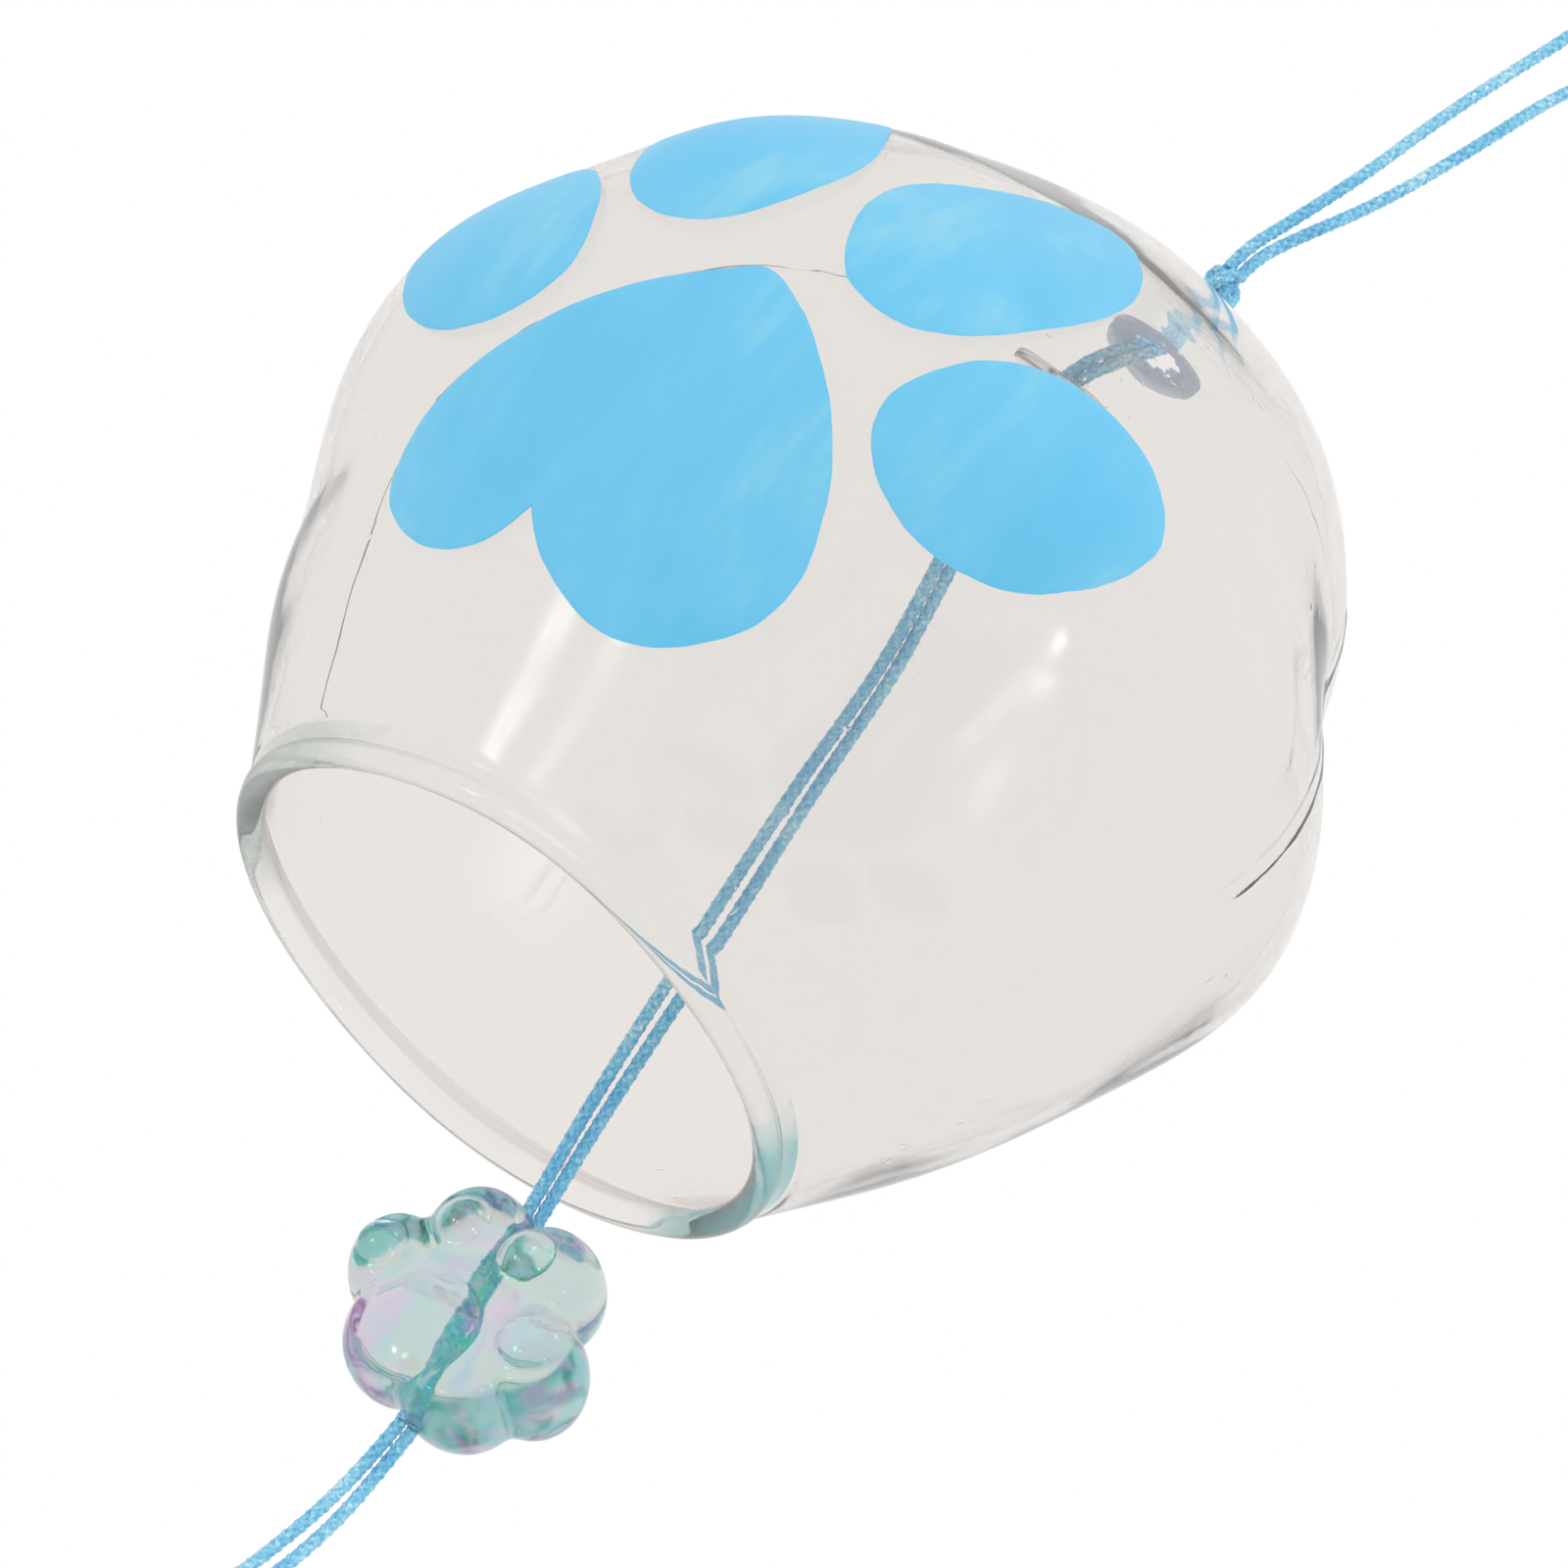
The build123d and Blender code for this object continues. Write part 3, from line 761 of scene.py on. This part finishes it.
def pads(material):
    """The heart-shaped palm and the four toes, from left to right."""
    outer = (OUTER_TOE_SHARES, TOE_PAD_SIZE, OUTER_TOE_PLACE)
    inner = (MIDDLE_TOE_SHARES, MIDDLE_PAD_SIZE, MIDDLE_TOE_PLACE)
    for index, (pad, side) in enumerate(((outer, -1), (inner, -1), (inner, 1), (outer, 1))):
        edge = pad_outline(*pad, mirror=side)
        pad_piece(f"paint_toe_{index + 1}", f"toe_pad_{index + 1}", edge, material, index * 1.7)
    heart = [HEART_TIP_SHARES, HEART_RIGHT_SHARES, HEART_LEFT_SHARES]
    pad_piece("paint_heart", "heart_pad", pad_outline(heart, HEART_SIZE, HEART_PLACE), material, 0.8)


def disc_piece(material):
    """The clear stop washer, with round edges and a hole for the doubled cord."""
    edge, half = washer_edge_radius, washer_half_thickness
    section = []
    for middle, side, start in ((washer_radius - edge, 1, -90), (washer_hole_radius + edge, -1, 90)):
        for step in range(7):
            angle = math.radians(start + step * 30)
            across = middle + side * edge * abs(math.cos(angle))
            up = math.copysign(half - edge, math.sin(angle) or side) + edge * math.sin(angle)
            section.append((across, up))
    turns = np.linspace(0, 2 * math.pi, washer_sides, endpoint=False)
    rows = np.array([[(r * math.cos(a), r * math.sin(a), z) for a in turns] for r, z in section])
    faces = grid_faces(len(section), washer_sides, closed_rows=True)
    piece = mesh_piece("stop_disc", rows.reshape(-1, 3), faces, material)
    turn = Matrix.Rotation(cord_plane_turn, 4, "Z") @ Matrix.Rotation(washer_tilt, 4, "X")
    piece.data.transform(Matrix.Translation(at(*washer_place)) @ turn)
    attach(piece, "neck")
    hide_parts("stop_washer")


# Cord

strand_share = 0.93
strand_middle = 0.0003
strand_weave = 0.0001
strand_half_height = 0.00017
strand_half_width = 0.00028
core_radius = 0.0003
braid_pitch = 0.0048
braid_step = 0.00019
carriers = 4
strand_sides = 6
core_sides = 10


def nurbs_line(points):
    """The smooth line of a route: its points are the control points of one open NURBS spline."""
    curve = bpy.data.curves.new("route", "CURVE")
    curve.dimensions = "3D"
    curve.resolution_u = 24
    spline = curve.splines.new("NURBS")
    spline.points.add(len(points) - 1)
    for target, point in zip(spline.points, points):
        target.co = (*point, 1)
    spline.order_u = 3
    spline.use_endpoint_u = True
    piece = bpy.data.objects.new("route", curve)
    mesh = bpy.data.meshes.new_from_object(piece)
    line = np.array([vertex.co for vertex in mesh.vertices])
    bpy.data.objects.remove(piece)
    bpy.data.curves.remove(curve)
    bpy.data.meshes.remove(mesh)
    return line


def along(line, step):
    """Points at even steps along a line."""
    far = np.concatenate([[0], np.cumsum(np.linalg.norm(np.diff(line, axis=0), axis=1))])
    wanted = np.linspace(0, far[-1], max(4, int(round(far[-1] / step)) + 1))
    return np.stack([np.interp(wanted, far, line[:, axis]) for axis in range(3)], axis=1), wanted


def unit(vectors):
    """The vectors at length 1."""
    return vectors / np.linalg.norm(vectors, axis=-1, keepdims=True)


def sides_of(line):
    """Two directions square to a line, that turn with it as little as they can."""
    heading = unit(np.gradient(line, axis=0))
    side = np.zeros_like(line)
    side[0] = unit(np.cross(heading[0], (0.2, 0.9, 0.1)))
    for index in range(1, len(line)):
        side[index] = unit(side[index - 1] - heading[index] * (side[index - 1] @ heading[index]))
    return side, np.cross(heading, side)


def tube_mesh(line, out, aside, half_out, half_aside, sides):
    """Points and faces of a tube with closed ends round a line."""
    angles = np.linspace(0, 2 * math.pi, sides, endpoint=False)
    rows = (
        line[:, None, :]
        + out[:, None, :] * (half_out * np.cos(angles))[None, :, None]
        + aside[:, None, :] * (half_aside * np.sin(angles))[None, :, None]
    )
    count = len(line)
    faces = grid_faces(count, sides)
    faces.append(tuple(range(sides))[::-1])
    faces.append(tuple(range((count - 1) * sides, count * sides)))
    return rows.reshape(-1, 3), faces


def braid_mesh(line):
    """A round braid along a line: strands that wind both ways, over and under, on a core."""
    line, far = along(line, braid_step)
    side, other = sides_of(line)
    phase = 2 * math.pi * far / braid_pitch
    tubes = []
    for way in (-1, 1):
        for carrier in range(carriers):
            angle = way * phase + 2 * math.pi * carrier / carriers
            reach = strand_middle + way * strand_weave * np.cos(4 * phase)
            out = side * np.cos(angle)[:, None] + other * np.sin(angle)[:, None]
            path = line + out * reach[:, None]
            aside = unit(np.cross(unit(np.gradient(path, axis=0)), out))
            tubes.append(tube_mesh(path, out, aside, strand_half_height, strand_half_width, strand_sides))
    strand_faces = sum(len(faces) for _, faces in tubes)
    tubes.append(tube_mesh(line, side, other, core_radius, core_radius, core_sides))
    points, faces, offset = [], [], 0
    for tube_points, tube_faces in tubes:
        faces += [tuple(index + offset for index in face) for face in tube_faces]
        points.append(tube_points)
        offset += len(tube_points)
    return np.concatenate(points), faces, strand_faces, line


def braided_piece(name, line, materials):
    """A braided cord along a line; also the even points of that line."""
    points, faces, strand_faces, line = braid_mesh(line)
    piece = mesh_piece(name, points, faces, materials[0])
    piece.data.materials.append(materials[1])
    for polygon in piece.data.polygons[strand_faces:]:
        polygon.material_index = 1
    return piece, line


def beside(place, up=0.0):
    """A route's point for the doubled cord at a place: its two strands lie side by side."""
    return (place[0], place[1] + up, strand_offset)


def doubled(route, side):
    """One strand's points on a doubled route, on its left (-1) or right (1)."""
    return [at(across + side * strand_share * half, up) for across, up, half in route]


def knot_piece(name, node, place, body, materials, phase):
    """A tight overhand knot: a trefoil of the braided cord."""
    walk = np.linspace(0, 2 * math.pi, 160)
    line = np.stack([
        knot_reach * (np.sin(walk) + 2 * np.sin(2 * walk)),
        knot_reach * (np.cos(walk) - 2 * np.cos(2 * walk)),
        -knot_rise * np.sin(3 * walk),
    ], axis=1)
    turn = Matrix.Rotation(phase, 3, "Z")
    piece, _ = braided_piece(name, line @ np.array(turn).T + np.array(at(*place)), materials)
    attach(piece, body)
    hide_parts(node)


def cords(materials):
    """The hang loop, the doubled strands from knot to knot, the strip's loop and the knots."""
    above, below = knot_height / 2, -knot_height / 2
    x, z = crown_knot_place
    route = [(-strand_offset, above)] + LOOP_ROUTE + [(strand_offset, above)]
    points = [at(x + across, z + up) for across, up in route]
    loop, line = braided_piece("cord_hang_loop", nurbs_line(points), materials)
    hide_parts("hang_loop")
    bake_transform(loop)
    neck = [beside(crown_knot_place, below)] + NECK_ROUTE + [beside(stop_knot_place, above)]
    clapper = [beside(stop_knot_place, below)] + CLAPPER_ROUTE + [beside(bead_bottom_place)]
    tail = [beside(bead_bottom_place, -0.0002)] + TAIL_ROUTE + [beside(strip_knot_place, above)]
    stretches = (
        ("neck", neck, "knot", "neck"),
        ("clapper", clapper, "stopper", "clapper"),
        ("tail", tail, "clapper", "tail"),
    )
    for stretch, route, first, second in stretches:
        for side, end in ((-1, "left"), (1, "right")):
            points = doubled(route, side)
            piece, line = braided_piece(f"cord_{stretch}_{end}", nurbs_line(points), materials)
            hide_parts(f"{stretch}_strand_{end}")
            start = at(route[0][0], route[0][1])
            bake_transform(piece)
    middle = at(*strip_knot_place)
    route = [(-strand_offset, below)] + STRIP_LOOP_ROUTE + [(strand_offset, below)]
    points = [middle + Vector((0, across, up)) for across, up in route]
    piece, line = braided_piece("cord_strip_loop", nurbs_line(points), materials)
    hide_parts("strip_loop")
    start, end = middle + Vector((0, 0, below)), middle + Vector((0, 0, -0.013))
    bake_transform(piece)
    knot_piece("knot_crown", "crown_knot", crown_knot_place, "knot", materials, 0.3)
    knot_piece("knot_stop", "stop_knot", stop_knot_place, "stopper", materials, 1.4)
    knot_piece("knot_strip", "strip_knot", strip_knot_place, "tie", materials, 2.2)


# Bead

# Each lobe: across, up, then its half width and height
BEAD_LOBES = [
    (-0.007, 0.0005, 0.0039, 0.0041), (-0.0031, 0.0053, 0.0043, 0.0046), (0.0035, 0.0051, 0.0043, 0.0043),
    (0.0071, -0.0017, 0.0041, 0.0044), (0.0003, -0.0014, 0.0084, 0.0073), (-0.0031, -0.0046, 0.0044, 0.0043),
    (0.003, -0.0052, 0.005, 0.0047),
]
bead_lobe_depth = 0.0058
# Each dome: across, up, radius, depth, how far its middle lies in front of the bead's
BEAD_DOMES = [
    (-0.0078, 0.0001, 0.00195, 0.0021, 0.0036), (-0.0037, 0.0049, 0.0021, 0.0021, 0.0036),
    (0.0024, 0.0047, 0.0023, 0.0021, 0.0036), (0.0072, -0.0014, 0.0027, 0.002, 0.0036),
    (-0.0006, -0.0042, 0.0048, 0.0024, 0.0034),
]
# Beyond this distance from its middle plane the bead keeps only a share of the lobes' depth
bead_face_depth = 0.0045 * 0.86
bead_face_share = 0.3
bead_voxel = 0.0003
bead_dome_voxel = bead_voxel * 0.75
bead_bore_length = 0.034
# The two strands fill the bore, so that they show through the resin
bead_bore_half_width = 0.00108
bead_bore_half_depth = 0.0005


def add_balls(mesh, balls):
    """Adds ellipsoids to a mesh, each given by its middle and its half sizes."""
    build = bmesh.new()
    build.from_mesh(mesh)
    for middle, halves in balls:
        place = Matrix.Translation(middle) @ Matrix.Diagonal((*halves, 1))
        bmesh.ops.create_icosphere(build, subdivisions=4, radius=1.0, matrix=place)
    build.to_mesh(mesh)
    build.free()


def apply_modifiers(piece):
    """Bakes a piece's modifiers into its mesh."""
    evaluated = piece.evaluated_get(bpy.context.evaluated_depsgraph_get())
    mesh = bpy.data.meshes.new_from_object(evaluated)
    piece.modifiers.clear()
    piece.data = mesh


def fuse(piece, voxel, rounds):
    """Fuses a piece's overlapping solids into one skin and smooths it."""
    remesh = piece.modifiers.new("remesh", "REMESH")
    remesh.mode = "VOXEL"
    remesh.voxel_size = voxel
    smooth = piece.modifiers.new("smooth", "SMOOTH")
    smooth.factor = 0.5
    smooth.iterations = rounds
    apply_modifiers(piece)


def bead_piece(material):
    """The paw bead: soft lobes with a clear dome on each toe and on the heel, bored for the cord."""
    top, bottom = at(*bead_top_place), at(*bead_bottom_place)
    middle = (top + bottom) / 2
    mesh = bpy.data.meshes.new("bead_paw")
    lobes = [(middle + Vector((x, 0, z)), (a, bead_lobe_depth, b)) for x, z, a, b in BEAD_LOBES]
    add_balls(mesh, lobes)
    mesh.materials.append(material)
    piece = new_object("bead_paw", mesh)
    fuse(piece, bead_voxel, 14)
    flatten_faces(piece, middle)
    domes = [(middle + Vector((x, -front, z)), (a, depth, a)) for x, z, a, depth, front in BEAD_DOMES]
    add_balls(piece.data, domes)
    fuse(piece, bead_dome_voxel, 3)
    along_bore = (top - bottom).normalized()
    across_bore = Vector((cord_plane_x, cord_plane_y, 0))
    across_bore = (across_bore - along_bore * across_bore.dot(along_bore)).normalized()
    turn = Matrix((across_bore, along_bore.cross(across_bore), along_bore)).transposed().to_4x4()
    snug = Matrix.Diagonal((bead_bore_half_width, bead_bore_half_depth, 1, 1))
    cut_hole(piece, Matrix.Translation(middle) @ turn @ snug, 1.0, bead_bore_length)
    piece.data.materials.clear()
    piece.data.materials.append(material)
    piece.data.shade_smooth()
    piece.data.polygons.foreach_set("material_index", [0] * len(piece.data.polygons))
    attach(piece, "clapper")
    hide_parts("paw_bead")


def cut_hole(piece, place, radius, depth):
    """Cuts a hole through a piece, along Z of the place's matrix, which can make it oval."""
    build = bmesh.new()
    bmesh.ops.create_cone(
        build, cap_ends=True, segments=48, radius1=radius, radius2=radius, depth=depth, matrix=place
    )
    mesh = bpy.data.meshes.new("cutter")
    build.to_mesh(mesh)
    build.free()
    cutter = new_object("cutter", mesh)
    hole = piece.modifiers.new("hole", "BOOLEAN")
    hole.operation = "DIFFERENCE"
    hole.object = cutter
    hole.solver = "EXACT"
    apply_modifiers(piece)
    bpy.data.objects.remove(cutter)


def flatten_faces(piece, middle):
    """Flattens the lobes' front and back a little, as a moulded bead's are."""
    for vertex in piece.data.vertices:
        out = vertex.co.y - middle.y
        if abs(out) > bead_face_depth:
            depth = bead_face_depth + (abs(out) - bead_face_depth) * bead_face_share
            vertex.co.y = middle.y + math.copysign(depth, out)


# Paper strip

strip_width = 0.035
strip_length = 0.095
strip_thickness = 0.0004
strip_hole_radius = 0.00165
strip_hole_inset = 0.005
strip_curl = 0.0009
strip_columns = 29
strip_rows = 77
strip_loop_gap = 0.00008


def strip_piece(material):
    """The card strip, a little bowed along its length, with its punched hole."""
    loop_bottom = min(up for _, up in STRIP_LOOP_ROUTE) + cord_diameter / 2
    hole = at(*strip_knot_place) + Vector((0, 0, loop_bottom + strip_loop_gap - strip_hole_radius))
    points = []
    for row in range(strip_rows):
        for column in range(strip_columns):
            across = (column / (strip_columns - 1) - 0.5) * strip_width
            down = row / (strip_rows - 1) * strip_length
            bow = 0.8 * math.sin(math.pi * down / strip_length) - 0.5 * (2 * across / strip_width) ** 2
            near = max(0.0, 1 - down / (strip_hole_inset * 3))
            out = strip_curl * bow * (1 - near)
            points.append((hole.x + across, hole.y + out, hole.z + strip_hole_inset - down))
    faces = grid_faces(strip_rows, strip_columns, closed_columns=False)
    piece = mesh_piece("paper_strip", points, faces, material, smooth=False)
    solid = piece.modifiers.new("solid", "SOLIDIFY")
    solid.thickness = strip_thickness
    solid.offset = 0
    apply_modifiers(piece)
    turn = Matrix.Rotation(math.radians(90), 4, "X")
    cut_hole(piece, Matrix.Translation(hole) @ turn, strip_hole_radius, 0.01)
    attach(piece, "strip")
    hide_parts("tanzaku")


# Stage

floor_level = -1.9
floor_half_size = 4.0
# Grey levels of the room that reflections see, from floor to ceiling
ROOM_LEVELS = [(0.1, 0.72), (0.5, 0.8), (0.8, 0.88)]
backdrop_in_glass = (0.9, 0.83, 0.8, 1)
# Each soft box: name, azimuth, elevation, distance, width and height, power
LAMPS = [
    ("top", 60, 62, 1.1, (0.6, 0.6), 2.6), ("left", -27, -31, 0.9, (0.17, 0.26), 1.2),
    ("left_edge", -9, -34, 0.9, (0.16, 0.3), 0.4), ("right", 70, -13, 0.9, (0.15, 0.13), 0.55),
]


def floor():
    """A plain pale floor well below the bell."""
    nodes = Surface("floor")
    nodes.set(Base_Color=(0.8, 0.8, 0.79, 1), Roughness=0.9)
    corners = ((-1, -1), (1, -1), (1, 1), (-1, 1))
    points = [(x * floor_half_size, y * floor_half_size, floor_level) for x, y in corners]
    piece = mesh_piece("floor", points, [(0, 1, 2, 3)], nodes.material, smooth=False)


def area_lamp(name, azimuth, elevation, distance, size, power):
    """A soft box that faces the bell and fades towards its edges."""
    back = towards(math.radians(azimuth), math.radians(elevation))
    data = bpy.data.lights.new(name, "AREA")
    data.shape = "RECTANGLE"
    data.size, data.size_y = size
    data.energy = power
    data.use_nodes = True
    nodes = Nodes(data.node_tree)
    place = nodes.add("ShaderNodeNewGeometry").outputs["Parametric"]
    inputs = {"Vector": place, "Location": (-1, -1, 0), "Scale": (2, 2, 0)}
    centred = nodes.add("ShaderNodeMapping", inputs).outputs["Vector"]
    fade = nodes.add("ShaderNodeTexGradient", {"Vector": centred}, gradient_type="QUADRATIC_SPHERE")
    nodes.put(nodes.tree.nodes["Emission"].inputs["Strength"], fade.outputs["Fac"])
    lamp = new_object(name, data)
    middle = MOUTH + Vector((0, 0, bell_height / 2))
    turn = back.to_track_quat("Z", "Y").to_matrix().to_4x4()
    lamp.matrix_world = Matrix.Translation(middle + back * distance) @ turn


def studio():
    """White for the camera, a pale grey room for reflections, and soft boxes."""
    world = bpy.data.worlds.new("studio")
    world.use_nodes = True
    nodes = Nodes(world.node_tree)
    nodes.tree.nodes.clear()
    direction = nodes.add("ShaderNodeTexCoord").outputs["Generated"]
    height = nodes.add("ShaderNodeSeparateXYZ", {"Vector": direction}).outputs["Z"]
    levels = [(position, (level,) * 3) for position, level in ROOM_LEVELS]
    color = nodes.ramp(nodes.spread_from(height, -1.0, 1.0), levels)
    path = nodes.add("ShaderNodeLightPath")
    color = nodes.mix(path.outputs["Is Diffuse Ray"], color, (1, 1, 1, 1))
    color = nodes.mix(path.outputs["Is Transmission Ray"], color, backdrop_in_glass)
    color = nodes.mix(path.outputs["Is Camera Ray"], color, (1, 1, 1, 1))
    background = nodes.add("ShaderNodeBackground", {"Color": color, "Strength": 1.0})
    nodes.add("ShaderNodeOutputWorld", {"Surface": background.outputs["Background"]})
    bpy.context.scene.world = world
    for lamp in LAMPS:
        area_lamp(*lamp)


def build_scene():
    """Builds every piece, the stage and the camera."""
    bell_piece(glass_material(), chipped_material(), rim_material())
    pads(paint_material())
    disc_piece(disc_material())
    cords((cord_material(), core_material()))
    bead_piece(bead_material())
    strip_piece(paper_material())
    floor()
    studio()
    camera()
    bpy.context.scene.view_settings.view_transform = "Standard"


build_scene()
